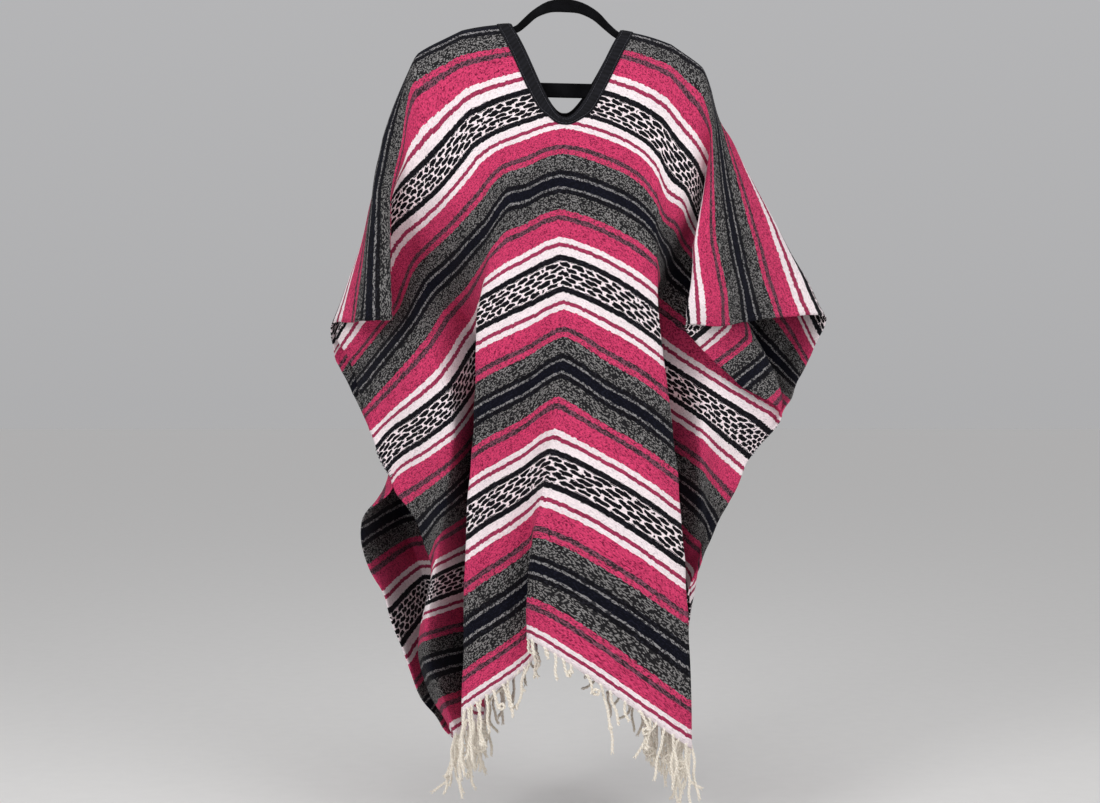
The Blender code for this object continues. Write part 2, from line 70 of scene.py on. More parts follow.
# The blanket is one rectangle of falsa cloth: soft acrylic weft packed over cotton warps, striped in
# the loom. It is folded over the shoulders, with the neck hole cut in its middle, and hangs in
# folds. Both sides are tacked together for a hand's width, and are open below that.
MM = 0.001
CUT_WIDTH = 1350
CUT_FALL = 1025
CLOTH_THICK = 2.4
NECK_HALF_WIDTH = 90
NECK_DEPTH = 174
NECK_ROUND = 0.57
HOOK_DROP = 70

# Where each side is tacked: the fall in mm at the top of the tack and at its foot
TACK_LEFT = (425, 500)
TACK_RIGHT = (400, 475)

# Each fold line runs over the shoulder from the back hem to the front hem at one place across the
# cut. Rows, in mm: fall along the cloth from the shoulder fold (negative down the back), across to
# the right of the hook, forward of the hanger, and down below the hanger's top.
FOLDS = {
    "left selvedge": (-675, (
        (-1025, -180, -70, 1200), (-880, -240, -76, 1120), (-700, -300, -56, 950),
        (-620, -330, -34, 875), (-580, -325, -16, 835), (-500, -280, 4, 770), (-450, -295, 2, 740),
        (-400, -310, -14, 700), (-300, -355, -114, 625), (-200, -390, -148, 560),
        (-130, -385, -96, 515), (-60, -345, -26, 515), (0, -315, 30, 515), (50, -272, 68, 516),
        (100, -338, -60, 508), (160, -380, -106, 530), (225, -360, -106, 568), (300, -338, -64, 618),
        (400, -310, 0, 695), (500, -275, 14, 765), (600, -230, 34, 845), (700, -210, 26, 920),
        (800, -225, 0, 980), (900, -235, -24, 1065), (1025, -175, -20, 1190),
    )),
    "left sleeve fold": (-520, (
        (-1025, -165, -195, 1195), (-900, -205, -194, 1105), (-750, -240, -186, 950),
        (-600, -280, -160, 820), (-450, -285, -140, 655), (-300, -285, -150, 515),
        (-200, -305, -134, 420), (-120, -320, -88, 345), (-50, -310, -24, 310), (0, -302, 27, 313),
        (50, -275, 52, 325), (100, -298, -6, 372), (150, -334, -62, 425), (225, -277, -48, 475),
        (300, -243, 12, 512), (450, -180, 54, 645), (600, -185, 66, 790), (750, -205, 60, 920),
        (900, -215, 40, 1040), (1025, -170, 26, 1170),
    )),
    "left valley": (-380, (
        (-1025, -135, -120, 1175), (-900, -160, -126, 1080), (-750, -195, -136, 935),
        (-600, -215, -140, 785), (-300, -245, -136, 470), (-150, -270, -84, 320), (-50, -291, -18, 224),
        (0, -287, 14, 222), (50, -258, 38, 240), (150, -272, 4, 338), (225, -240, -26, 400),
        (300, -200, -20, 450), (450, -135, -78, 560), (600, -135, -92, 730), (750, -135, -102, 895),
        (900, -135, -106, 1040), (1025, -135, -106, 1175),
    )),
    "left arm end": (-250, (
        (-1025, -130, -215, 1150), (-900, -140, -214, 1035), (-750, -175, -206, 875),
        (-600, -180, -192, 715), (-300, -195, -140, 400), (-150, -220, -76, 255), (-20, -241, -12, 98),
        (0, -236, 0, 88), (20, -241, 12, 103), (150, -205, 44, 270), (300, -150, 46, 400),
        (450, -130, 16, 535), (600, -135, 8, 690), (750, -140, 4, 850), (1025, -145, -4, 1155),
    )),
    "left ridge": (-165, (
        (-1025, -85, -130, 1065), (-750, -110, -134, 790), (-450, -125, -128, 480),
        (-300, -135, -110, 335), (-150, -160, -64, 190), (-15, -165, -11, 60), (0, -165, 0, 50),
        (15, -165, 11, 62), (150, -150, 50, 215), (300, -110, 80, 365), (450, -135, 96, 510),
        (600, -140, 102, 660), (750, -150, 102, 810), (1025, -160, 94, 1125),
    )),
    "middle valley": (-30, (
        (-1025, -50, -206, 1010), (-900, -50, -204, 885), (-750, -45, -194, 730),
        (-450, -35, -154, 430), (-300, -30, -126, 285), (-150, -25, -68, 155), (-15, -25, -11, 46),
        (0, -25, 0, 36), (15, -25, 11, 48), (150, -25, 58, 180), (300, -35, 86, 315),
        (600, -35, 96, 605), (750, -50, 88, 750), (1025, -45, 76, 1035),
    )),
    "middle ridge": (0, (
        (-1025, -5, -210, 1010), (-750, -5, -198, 730), (-600, -5, -180, 575), (-450, -5, -156, 430),
        (-300, 0, -128, 280), (-150, 0, -70, 150), (-15, 5, -11, 47), (0, 5, 0, 37), (15, 5, 11, 49),
        (150, 0, 58, 180), (300, -10, 88, 310), (600, -5, 112, 590), (750, -25, 118, 735),
        (900, -55, 118, 885), (1025, -60, 114, 1005),
    )),
    "right ridge": (180, (
        (-1025, 80, -130, 1080), (-900, 85, -132, 955), (-600, 110, -134, 650), (-300, 145, -112, 345),
        (-150, 165, -66, 205), (-15, 170, -11, 82), (0, 170, 0, 72), (15, 170, 11, 84),
        (150, 150, 52, 230), (300, 140, 78, 365), (450, 145, 92, 525), (600, 165, 96, 695),
        (900, 190, 88, 1010), (1025, 195, 84, 1180),
    )),
    "right arm end": (250, (
        (-1025, 130, -212, 1140), (-900, 135, -210, 1025), (-750, 145, -202, 865),
        (-450, 180, -170, 545), (-300, 200, -138, 390), (-150, 220, -76, 260), (-20, 226, -12, 121),
        (0, 220, 0, 110), (20, 221, 12, 124), (75, 210, 28, 195), (150, 195, 42, 280),
        (300, 160, 44, 395), (450, 135, 14, 540), (600, 150, 6, 710), (900, 170, -4, 1020),
        (1025, 175, -10, 1180),
    )),
    "right valley": (360, (
        (-1025, 145, -130, 1165), (-900, 150, -136, 1065), (-600, 180, -150, 765),
        (-300, 250, -148, 435), (-150, 285, -96, 270), (-110, 280, -70, 230), (-60, 255, -38, 195),
        (0, 240, 6, 195), (50, 232, 30, 210), (100, 230, 8, 258), (150, 219, -6, 318),
        (300, 180, -14, 420), (450, 120, -78, 560), (600, 125, -92, 725), (750, 130, -104, 885),
        (900, 135, -106, 1025), (1025, 140, -106, 1165),
    )),
    "right panel": (500, (
        (-1025, 180, -198, 1205), (-750, 195, -196, 975), (-600, 230, -180, 825),
        (-450, 285, -150, 680), (-300, 325, -166, 530), (-200, 350, -140, 420), (-115, 350, -86, 355),
        (-70, 310, -40, 350), (0, 265, 14, 375), (60, 230, 50, 390), (110, 200, 66, 400),
        (160, 240, 0, 420), (300, 285, -30, 530), (450, 220, 38, 645), (600, 210, 34, 795),
        (675, 200, -14, 875), (900, 185, -64, 1075), (1025, 190, -70, 1190),
    )),
    "right lapel": (600, (
        (-1025, 195, -150, 1215), (-900, 200, -152, 1115), (-600, 245, -110, 845),
        (-450, 305, -40, 705), (-395, 335, -58, 660), (-300, 365, -130, 580), (-200, 395, -138, 495),
        (-135, 405, -102, 445), (-70, 335, -42, 435), (0, 285, 16, 470), (70, 239, 61, 485),
        (130, 190, 76, 490), (180, 244, 10, 512), (300, 325, -8, 575), (395, 340, 0, 660),
        (450, 280, 18, 690), (675, 215, 4, 890), (750, 195, -8, 960), (900, 190, -20, 1095),
        (1025, 195, -26, 1195),
    )),
    "right selvedge": (675, (
        (-1025, 190, -96, 1215), (-900, 195, -96, 1120), (-750, 205, -84, 990), (-600, 230, -48, 850),
        (-450, 305, -6, 710), (-395, 345, -6, 670), (-300, 385, -84, 610), (-200, 420, -122, 550),
        (-145, 435, -104, 505), (-70, 360, -42, 505), (0, 295, 16, 515), (70, 240, 54, 525),
        (140, 185, 84, 525), (200, 215, 46, 560), (300, 275, 30, 615), (395, 343, 28, 668),
        (450, 313, 26, 712), (600, 240, 6, 845), (675, 210, 22, 910), (750, 190, 34, 960),
        (900, 190, 28, 1075), (1025, 195, 22, 1170),
    )),
}


def through(knots, points, at, taut=0.0):
    """Curves through points at the knots, read at the places in at: between two knots the Hermite
    cubic of their points and slopes, each slope the mean of the two beside the knot, mixed with the
    straight line between the points by the share that is taut."""
    knots = np.asarray(knots, float)
    step = np.diff(knots)[None, :, None]
    rise = np.diff(points, axis=1) / step
    slope = np.empty_like(points)
    mixed = rise[:, 1:] * step[:, :-1] + rise[:, :-1] * step[:, 1:]
    slope[:, 1:-1] = 0.9 * mixed / (step[:, 1:] + step[:, :-1])
    slope[:, 0] = rise[:, 0]
    slope[:, -1] = rise[:, -1]
    k = np.clip(np.searchsorted(knots, at, side="right") - 1, 0, len(knots) - 2)
    row = np.arange(len(at)) if len(points) > 1 else np.zeros(len(at), int)
    width = step[0, k]
    s = (np.asarray(at, float) - knots[k])[:, None] / width
    curved = (
        (2 * s**3 - 3 * s**2 + 1) * points[row, k]
        + (s**3 - 2 * s**2 + s) * width * slope[row, k]
        + (3 * s**2 - 2 * s**3) * points[row, k + 1]
        + (s**3 - s**2) * width * slope[row, k + 1]
    )
    straight = points[row, k] + s * (points[row, k + 1] - points[row, k])
    return curved + taut * (straight - curved)


def unit(vectors):
    """The same directions at length one."""
    return vectors / np.linalg.norm(vectors, axis=-1, keepdims=True)


def ease(low, high, at):
    """0 below low, 1 above high, and a smooth S between: 3t^2 - 2t^3."""
    t = np.clip((at - low) / (high - low), 0, 1)
    return t * t * (3 - 2 * t)


def drape(cut, fall):
    """Where a place on the cut hangs, in metres: a curve down each fold line, read at the fall,
    then a curve across those points, read at the cut, half taut so that the creases stay crisp."""
    lines = [
        through(np.array(rows, float)[:, 0], np.array(rows, float)[None, :, 1:], fall)
        for _, rows in FOLDS.values()
    ]
    places = [place for place, _ in FOLDS.values()]
    x, forward, down = through(places, np.stack(lines, 1), cut, taut=0.5).T
    return np.stack([x, -forward, -down - HOOK_DROP], 1) * MM


def tacked(cut, fall):
    """The drape with its sides tacked: near a selvedge, and along its tack, each layer goes to the
    middle between front and back, and stays half a wall and a little off it."""
    here, there = drape(cut, fall), drape(cut, -fall)
    level = np.abs(fall)
    left, right = [
        ease(top - 60, top, level) * (1 - ease(foot, foot + 60, level))
        for top, foot in (TACK_LEFT, TACK_RIGHT)
    ]
    pull = np.where(cut < 0, left, right) * ease(CUT_WIDTH / 2 - 90, CUT_WIDTH / 2 - 6, np.abs(cut))
    apart = unit(here - there + [0, 1e-9, 0]) * (CLOTH_THICK / 2 + 0.3) * MM
    return here + pull[:, None] * ((here + there) / 2 + apart - here)


def facing(cut, fall, reach=2.0):
    """The cloth's outward normal: the cross product of its runs across and down, over 4 mm."""
    u = np.clip(cut, reach - CUT_WIDTH / 2, CUT_WIDTH / 2 - reach)
    v = np.clip(fall, reach - CUT_FALL, CUT_FALL - reach)
    across = tacked(u + reach, v) - tacked(u - reach, v)
    return unit(np.cross(across, tacked(u, v + reach) - tacked(u, v - reach)))


def cockle(cut, fall):
    """How far the cloth stands off its smooth drape, in mm: crossed waves that are bent by slower
    ones, over the whole cut, and a quicker flutter along each selvedge."""
    slow = np.sin(cut / 25 + 2.2 * np.sin(fall / 63)) * np.sin(fall / 34 + 1.8 * np.sin(cut / 87))
    ribs = np.sin(fall / 11 + 1.6 * np.sin(cut / 41)) * np.sin(cut / 140 + fall / 210)
    edge = ease(CUT_WIDTH / 2 - 40, CUT_WIDTH / 2, np.abs(cut))
    return 1.1 * slow + 0.45 * ribs + 1.6 * edge * np.sin(fall / 17 + 1.3 * np.sin(fall / 53))


def on_cloth(cut, fall, lift=0.0):
    """A place on the cloth's middle, or lifted off it by lift mm towards its outer face."""
    cut, fall = np.broadcast_arrays(np.asarray(cut, float), np.asarray(fall, float))
    off = (cockle(cut, fall) + lift) * MM
    return tacked(cut, fall) + facing(cut, fall) * off[:, None]


def mesh_piece(name, points, faces, uv=None, closed=False):
    """A smooth mesh object of points and faces, with a place on a UV map for each point if given. A
    closed one has its normals turned outwards."""
    mesh = bpy.data.meshes.new(name)
    rows = [tuple(face) for group in faces for face in np.asarray(group).tolist()]
    mesh.from_pydata(np.asarray(points).reshape(-1, 3).tolist(), [], rows)
    if closed:
        shape = bmesh.new()
        shape.from_mesh(mesh)
        bmesh.ops.recalc_face_normals(shape, faces=shape.faces)
        shape.to_mesh(mesh)
        shape.free()
    if uv is not None:
        layer = mesh.uv_layers.new(name="cloth")
        corner = np.empty(len(mesh.loops), int)
        mesh.loops.foreach_get("vertex_index", corner)
        layer.data.foreach_set("uv", np.asarray(uv, np.float32).reshape(-1, 2)[corner].ravel())
    mesh.shade_smooth()
    piece = bpy.data.objects.new(name, mesh)
    bpy.context.scene.collection.objects.link(piece)
    return piece


def neck_half(fall):
    """Half the neck hole's width at a fall: near straight sides that close in a round foot."""
    left = 1 - np.clip(np.abs(fall) / NECK_DEPTH, 0, 1)
    return NECK_HALF_WIDTH * np.sqrt(left * (NECK_ROUND + (1 - NECK_ROUND) * left))


def blanket_grid(columns, falls):
    """Both halves of the cut as (across, fall) points: columns beside the neck are drawn out from
    its edge, and the halves share the middle line below it."""
    places, quads = [], []
    drawn = 170.0
    for half in (-1, 1):
        edge = neck_half(falls)[:, None]
        strip = columns[None, :]
        across = half * np.where(strip < drawn, edge + strip * (drawn - edge) / drawn, strip)
        grid = np.stack([across, np.broadcast_to(falls[:, None], across.shape)], 2)
        number = np.arange(across.size).reshape(across.shape) + sum(len(p) for p in places)
        square = np.stack([number[:-1, :-1], number[:-1, 1:], number[1:, 1:], number[1:, :-1]], 2)
        square = square.reshape(-1, 4)
        quads.append(square if half < 0 else square[:, ::-1])
        places.append(grid.reshape(-1, 2))
    flat, back = np.unique(np.round(np.concatenate(places), 4), axis=0, return_inverse=True)
    return flat, back.reshape(-1)[np.concatenate(quads)]


# How far the stripes lie below an even chart. The cloth is woven slack: below the tacks it stretches
# under its own weight, and each crease, or place where it is drawn tight, pulls its stripes along.
# For each pull, in mm: its middle's place across the cut and its fall, its reach across and down,
# and how far it draws the stripes down (negative for up).
STRETCH = 20
HEM_SLIDE = 7
PULLS = {
    "chest, tight between the shoulders": (50, 190, 130, 150, -16),
    "left crease of the chest": (-125, 290, 40, 80, -18),
    "left shoulder": (-250, 140, 90, 90, 11),
    "left sleeve's edge": (-430, 250, 80, 150, -12),
    "right crease of the chest": (205, 250, 40, 90, 26),
    "right sleeve": (340, 320, 130, 220, 15),
    "left panel": (-420, 650, 130, 150, 14),
    "middle ridge, at the waist": (70, 600, 40, 90, 9),
    "valley beside it": (-15, 620, 32, 150, -8),
    "middle ridge, above the hem": (40, 900, 70, 120, -14),
    "right ridge, above the hem": (180, 900, 50, 100, 9),
    "right panel, above the hem": (440, 900, 100, 170, -12),
}


def charted(cut, fall):
    """The fall on the even chart of the stripe that lies at each place: the fall less the slide,
    which is a smooth S for the stretch and, for each pull, a bell: its amount times e to the power
    of minus the squares of the places off its middle over its reaches."""
    level = np.abs(fall)
    slide = STRETCH * ease(500, 900, level)
    for place, middle, wide, tall, amount in PULLS.values():
        slide = slide + amount * np.exp(-(((cut - place) / wide) ** 2) - ((level - middle) / tall) ** 2)
    slide = slide + ease(970, CUT_FALL, level) * (HEM_SLIDE - slide)
    return fall - np.sign(fall) * slide * ease(0, 40, level)


columns = np.linspace(0, CUT_WIDTH / 2, 91)
neck_foot = NECK_DEPTH * (1 - np.linspace(0, 0.4, 7) ** 2)
down = np.concatenate([np.linspace(0, CUT_FALL, 124), neck_foot])
falls = np.unique(np.round(np.concatenate([-down, down]), 3))
cut, quads = blanket_grid(columns, falls)

# each selvedge wavers by under a millimetre, where the weft turns round the last warps
waver = 0.7 * np.abs(np.sin(cut[:, 1] / 1.9 + 2 * np.sin(cut[:, 1] / 13)))
waver = waver * np.sign(cut[:, 0]) * (np.abs(cut[:, 0]) > CUT_WIDTH / 2 - 1)
weave = np.stack([cut[:, 0], charted(cut[:, 0], cut[:, 1])], 1) * MM
blanket = mesh_piece("blanket", on_cloth(cut[:, 0] - waver, cut[:, 1]), [quads], weave)
wall = blanket.modifiers.new("wall", "SOLIDIFY")
wall.thickness = CLOTH_THICK * MM
wall.offset = 0


def linear(hex_colour):
    """An sRGB hex colour as linear RGBA."""
    part = np.array([int(hex_colour[k : k + 2], 16) for k in (1, 3, 5)]) / 255
    part = np.where(part <= 0.04045, part / 12.92, ((part + 0.055) / 1.055) ** 2.4)
    return (*part.tolist(), 1.0)


def add(tree, kind, inputs=None, out=0, **settings):
    """Adds a node, sets it, fills or links its inputs, and returns one of its outputs."""
    node = tree.nodes.new("ShaderNode" + kind)
    for key, value in settings.items():
        setattr(node, key, value)
    for key, value in (inputs or {}).items():
        if isinstance(value, bpy.types.NodeSocket):
            tree.links.new(value, node.inputs[key])
        else:
            node.inputs[key].default_value = value
    return node.outputs[out]


def new_material(name):
    """An empty node material, its tree and its Principled shader."""
    made = bpy.data.materials.new(name)
    made.use_nodes = True
    return made, made.node_tree, made.node_tree.nodes["Principled BSDF"]


# Weft-faced acrylic and cotton cloth: matt and a little furry, each stripe flecked by the recycled
# fibre in its yarn, with ribs where the weft passes over the warps. A float runs over 1.9 mm, and
# the picks lie 1.4 mm apart.
FLOAT_RUN = 1.9
PICK = 1.4
PINK = "#D9426F"
PINK_DEEP = "#7C1A3E"
CRIMSON = "#AE3A5E"
WHITE = "#F5E8EB"
WHITE_SHADE = "#DCCDD2"
BLACK = "#0E0D12"
NAVY = "#0A0B15"
CHARCOAL = "#242325"
GRAY = "#A3A09F"

# Half the 300 mm repeat, from the middle of a diamond band to the middle of a navy stripe: start in
# mm, yarn, flecks in it, share of its floats that are flecks. The first band's middle and the last
# stripe are so many mm down from the shoulder fold.
STRIPES = (
    (0.0, WHITE, WHITE_SHADE, 0.16),
    (20.2, BLACK, "#2E2C34", 0.20),
    (29.4, WHITE, WHITE_SHADE, 0.16),
    (42.6, CRIMSON, "#8A2B4A", 0.40),
    (49.2, WHITE, "#F3CFD8", 0.20),
    (57.3, PINK, PINK_DEEP, 0.34),
    (84.8, "#3A2B31", "#A8627A", 0.48),
    (92.8, PINK, "#4A2A36", 0.36),
    (101.4, CHARCOAL, GRAY, 0.36),
    (129.0, BLACK, "#2A2A32", 0.20),
    (137.5, "#3A393D", "#BDBABB", 0.50),
    (141.3, NAVY, "#1C1D2B", 0.25),
)
HALF_REPEAT = 150.0
FIRST_BAND = 151.5
LAST_STRIPE = 1020.5

cloth, tree, shader = new_material("weft_faced_falsa_cloth")
place = add(tree, "Mapping", {0: add(tree, "UVMap", uv_map="cloth"), "Scale": (1000, 1000, 1)})
u = add(tree, "SeparateXYZ", {0: place})
v = u.node.outputs[1]

# the fold over the shoulders lies a little skew to the weft: 3.5 mm to the back on one side and as
# much to the front on the other
level = add(tree, "Math", {0: v}, operation="ABSOLUTE")
near = {0: level, 1: 0.0, 2: 80.0, 3: 1.0, 4: 0.0}
near = add(tree, "MapRange", near, interpolation_type="SMOOTHSTEP")
skew = add(tree, "MapRange", {0: u, 1: -100.0, 2: 100.0, 3: -3.5, 4: 3.5})
woven = add(tree, "Math", {0: near, 1: skew, 2: v}, operation="MULTIPLY_ADD")

# the floats: every other pick is moved half a float, and each float draws its own chances
row = add(tree, "Math", {0: v, 1: PICK}, operation="DIVIDE")
pick = add(tree, "Math", {0: row}, operation="FLOOR")
odd = add(tree, "Math", {0: pick, 1: 1.0}, operation="PINGPONG")
run = add(tree, "Math", {0: u, 1: FLOAT_RUN}, operation="DIVIDE")
run = add(tree, "Math", {0: odd, 1: 0.5, 2: run}, operation="MULTIPLY_ADD")
column = add(tree, "Math", {0: run}, operation="FLOOR")
chance = add(tree, "TexWhiteNoise", {0: add(tree, "CombineXYZ", {0: column, 1: pick})})
chances = add(tree, "SeparateXYZ", {0: chance.node.outputs[1]})
shade_chance = chances.node.outputs[1]
streak = add(tree, "TexNoise", {
    "Vector": add(tree, "Mapping", {0: place, "Scale": (1 / 7, 1 / 2.4, 1)}), "Scale": 1.0, "Detail": 2.0,
})

# a stripe's edge steps by about a pick every 4 mm, and wanders slowly; the last stripe runs on to
# the hem
waver = add(tree, "Math", {0: u, 1: 4.0}, operation="DIVIDE")
block = add(tree, "Math", {0: v, 1: 12.0}, operation="DIVIDE")
waver = add(tree, "CombineXYZ", {
    0: add(tree, "Math", {0: waver}, operation="FLOOR"),
    1: add(tree, "Math", {0: block}, operation="FLOOR"),
})
ragged = add(tree, "MapRange", {0: add(tree, "TexWhiteNoise", {0: waver}), 3: -0.9, 4: 0.9})
wander = add(tree, "Mapping", {0: place, "Scale": (1 / 70, 1 / 200, 1)})
wander = add(tree, "TexNoise", {"Vector": wander, "Scale": 1.0, "Detail": 1.0})
ragged = add(tree, "Math", {0: wander, 1: 3.0, 2: ragged}, operation="MULTIPLY_ADD")
held = add(tree, "Math", {0: woven}, operation="ABSOLUTE")
held = add(tree, "Math", {0: held, 1: LAST_STRIPE}, operation="MINIMUM")
edge = add(tree, "Math", {0: held, 1: ragged}, operation="ADD")
from_first = add(tree, "Math", {0: edge, 1: FIRST_BAND}, operation="SUBTRACT")
from_band = add(tree, "Math", {0: from_first, 1: HALF_REPEAT}, operation="PINGPONG")
share = add(tree, "Math", {0: from_band, 1: HALF_REPEAT}, operation="DIVIDE")
ramps = []
for choice in (1, 2, 3):
    out = add(tree, "ValToRGB", {0: share})
    ramp = out.node.color_ramp
    ramp.interpolation = "CONSTANT"
    for k, stripe in enumerate(STRIPES):
        step = ramp.elements[0] if k == 0 else ramp.elements.new(stripe[0] / HALF_REPEAT)
        step.position = stripe[0] / HALF_REPEAT
        value = stripe[choice]
        step.color = linear(value) if isinstance(value, str) else (value, value, value, 1.0)
    ramp.elements.remove(ramp.elements[len(STRIPES)])
    ramps.append(out)
yarn, fleck, amount = ramps
lively = add(tree, "MapRange", {0: streak, 3: 0.8, 4: 1.2})
lively = add(tree, "Math", {0: amount, 1: lively}, operation="MULTIPLY")
is_fleck = add(tree, "Math", {0: chance, 1: lively}, operation="LESS_THAN")
depth = add(tree, "MapRange", {0: shade_chance, 3: 0.3, 4: 1.0})
is_fleck = add(tree, "Math", {0: is_fleck, 1: depth}, operation="MULTIPLY")
colour = add(tree, "Mix", {0: is_fleck, 6: yarn, 7: fleck}, 2, data_type="RGBA")

# The diamond band: five rows of black floats between white ones, each row moved nearly half a step
# on from the last so that they meet at their corners, and mirrored at the tips of the diamonds
BAND_ROW = 7.6
BAND_STEP = 23.0
DIAMOND_HALF = 80.5
BAND_SHIFT = 0.42
FLOAT_HALF_LENGTH = 9.6
FLOAT_HALF_HEIGHT = 3.4
FLOAT_ROUNDNESS = 3.0

jitter = add(tree, "TexNoise", {
    "Vector": add(tree, "Mapping", {0: place, "Scale": (1 / 13, 1 / 7, 1)}), "Scale": 1.0, "Detail": 2.0,
}, 1)
jitter = add(tree, "SeparateXYZ", {0: jitter})
height = add(tree, "MapRange", {0: jitter.node.outputs[1], 3: -3.0, 4: 3.0})
height = add(tree, "Math", {0: from_band, 1: height}, operation="ADD")
band_row = add(tree, "Math", {0: height, 1: BAND_ROW}, operation="DIVIDE")
band_row = add(tree, "Math", {0: band_row}, operation="ROUND")
off_row = add(tree, "Math", {0: band_row, 1: -BAND_ROW, 2: height}, operation="MULTIPLY_ADD")
off_row = add(tree, "Math", {0: off_row}, operation="ABSOLUTE")
along = add(tree, "MapRange", {0: jitter, 3: 24.0, 4: 38.0})
along = add(tree, "Math", {0: u, 1: along}, operation="ADD")
from_tip = add(tree, "Math", {0: along, 1: DIAMOND_HALF}, operation="PINGPONG")
step_place = {0: band_row, 1: BAND_STEP * BAND_SHIFT, 2: from_tip}
step_place = add(tree, "Math", step_place, operation="MULTIPLY_ADD")
step_place = add(tree, "Math", {0: step_place, 1: BAND_STEP}, operation="FLOORED_MODULO")
off_step = add(tree, "Math", {0: step_place, 1: BAND_STEP / 2}, operation="SUBTRACT")
off_step = add(tree, "Math", {0: off_step}, operation="ABSOLUTE")
long_part = add(tree, "Math", {0: off_step, 1: FLOAT_HALF_LENGTH}, operation="DIVIDE")
long_part = add(tree, "Math", {0: long_part, 1: FLOAT_ROUNDNESS}, operation="POWER")
wide_part = add(tree, "Math", {0: off_row, 1: FLOAT_HALF_HEIGHT}, operation="DIVIDE")
wide_part = add(tree, "Math", {0: wide_part, 1: FLOAT_ROUNDNESS}, operation="POWER")
mark = add(tree, "Math", {0: long_part, 1: wide_part}, operation="ADD")
mark = add(tree, "Math", {0: mark, 1: 1.0}, operation="LESS_THAN")
in_band = add(tree, "Math", {0: from_band, 1: STRIPES[1][0]}, operation="LESS_THAN")
mark = add(tree, "Math", {0: mark, 1: in_band}, operation="MULTIPLY")
colour = add(tree, "Mix", {0: mark, 6: colour, 7: linear(BLACK)}, 2, data_type="RGBA")

# uneven dye and packing: from float to float, along the yarns, and in broad patches
patch = add(tree, "TexNoise", {
    "Vector": add(tree, "Mapping", {0: place, "Scale": (1 / 70, 1 / 30, 1)}), "Scale": 1.0, "Detail": 3.0,
})
tone = add(tree, "Math", {0: amount, 1: shade_chance}, operation="MULTIPLY")
tone = add(tree, "Math", {0: tone, 1: -1.0, 2: 1.07}, operation="MULTIPLY_ADD")
along_yarn = add(tree, "MapRange", {0: streak, 3: 0.90, 4: 1.10})
tone = add(tree, "Math", {0: tone, 1: along_yarn}, operation="MULTIPLY")
broad = add(tree, "MapRange", {0: patch, 3: 0.88, 4: 1.10})
tone = add(tree, "Math", {0: tone, 1: broad}, operation="MULTIPLY")
colour = add(tree, "Mix", {0: 1.0, 6: colour, 7: tone}, 2, data_type="RGBA", blend_type="MULTIPLY")
tree.links.new(colour, shader.inputs["Base Color"])
shader.inputs["Roughness"].default_value = 0.95
shader.inputs["Specular IOR Level"].default_value = 0.1
shader.inputs["Sheen Weight"].default_value = 0.02
shader.inputs["Sheen Roughness"].default_value = 0.5

# each float is a small bean over the warps, some packed higher than others
bean_across = add(tree, "Math", {0: run}, operation="FRACT")
bean_across = add(tree, "Math", {0: bean_across, 1: pi}, operation="MULTIPLY")
bean_across = add(tree, "Math", {0: bean_across}, operation="SINE")
bean_down = add(tree, "Math", {0: row}, operation="FRACT")
bean_down = add(tree, "Math", {0: bean_down, 1: pi}, operation="MULTIPLY")
bean_down = add(tree, "Math", {0: bean_down}, operation="SINE")
bean = add(tree, "Math", {0: bean_across, 1: bean_down}, operation="MULTIPLY")
bean = add(tree, "Math", {0: shade_chance, 1: 0.5, 2: bean}, operation="MULTIPLY_ADD")
bump = add(tree, "Bump", {"Height": bean, "Distance": 0.0010, "Strength": 0.55})
tree.links.new(bump, shader.inputs["Normal"])
blanket.data.materials.append(cloth)
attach(blanket, "root")
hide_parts("front_panel", "back_panel")

# The neck is bound with one black cotton twill tape, folded over the cut edge and sewn through both
# leaves along both of its edges. Its ends lap over each other on the left shoulder, and a second
# join crosses it slantwise at the foot of the V.
TAPE_WIDTH = 20.0
TAPE_WIDTH_FOOT = 13.0
TAPE_THICK = 1.0
TAPE_OFF = CLOTH_THICK / 2 + 0.3
SEWN_IN = 3.0
STITCH_STEP = 4.2
LAP_RISE = 0.9
ROLL_REACH = 1.3
NECK_STATIONS = 900


def neck_edge(turn):
    """The neck hole's edge on the cut, all the way round: turn 0 is the right end of the shoulder
    fold, a quarter turn the foot of the front V."""
    fall = NECK_DEPTH * np.sin(turn)
    return np.sign(np.cos(turn)) * neck_half(fall), fall


def tube_faces(count, sides, closed):
    """Quads between rings of points: each ring's side to the same side of the next."""
    i = np.arange(count if closed else count - 1)[:, None]
    k = np.arange(sides)[None, :]
    j, m = (i + 1) % count, (k + 1) % sides
    return np.stack([i * sides + k, i * sides + m, j * sides + m, j * sides + k], 2).reshape(-1, 4)


def tubes(name, paths, radius, across, sides=5):
    """One mesh of round tubes, one along each path of an (n, m, 3) array: a ring of points about
    each place, in the plane across the path, of the radius there, closed by a face at each end."""
    run = unit(np.gradient(paths, axis=1))
    side = unit(np.cross(run, across))
    up = np.cross(side, run)
    turn = np.arange(sides) * 2 * pi / sides
    ring = side[:, :, None] * np.cos(turn)[:, None] + up[:, :, None] * np.sin(turn)[:, None]
    points = paths[:, :, None] + ring * np.broadcast_to(radius, paths.shape[:2])[:, :, None, None]
    n, m = paths.shape[:2]
    base = np.arange(n)[:, None, None] * m * sides
    walls = (base + tube_faces(m, sides, False)).reshape(-1, 4)
    caps = [base[:, :, 0] + np.arange(sides) + end for end in (0, (m - 1) * sides)]
    steps = np.linalg.norm(np.diff(paths, axis=1), axis=2)
    length = np.concatenate([np.zeros((n, 1)), np.cumsum(steps, 1)], 1)
    around = np.arange(sides) / sides * 0.01
    uv = np.stack(np.broadcast_arrays(length[:, :, None] + np.arange(n)[:, None, None], around), 3)
    return mesh_piece(name, points, [walls, *caps], uv, closed=True)


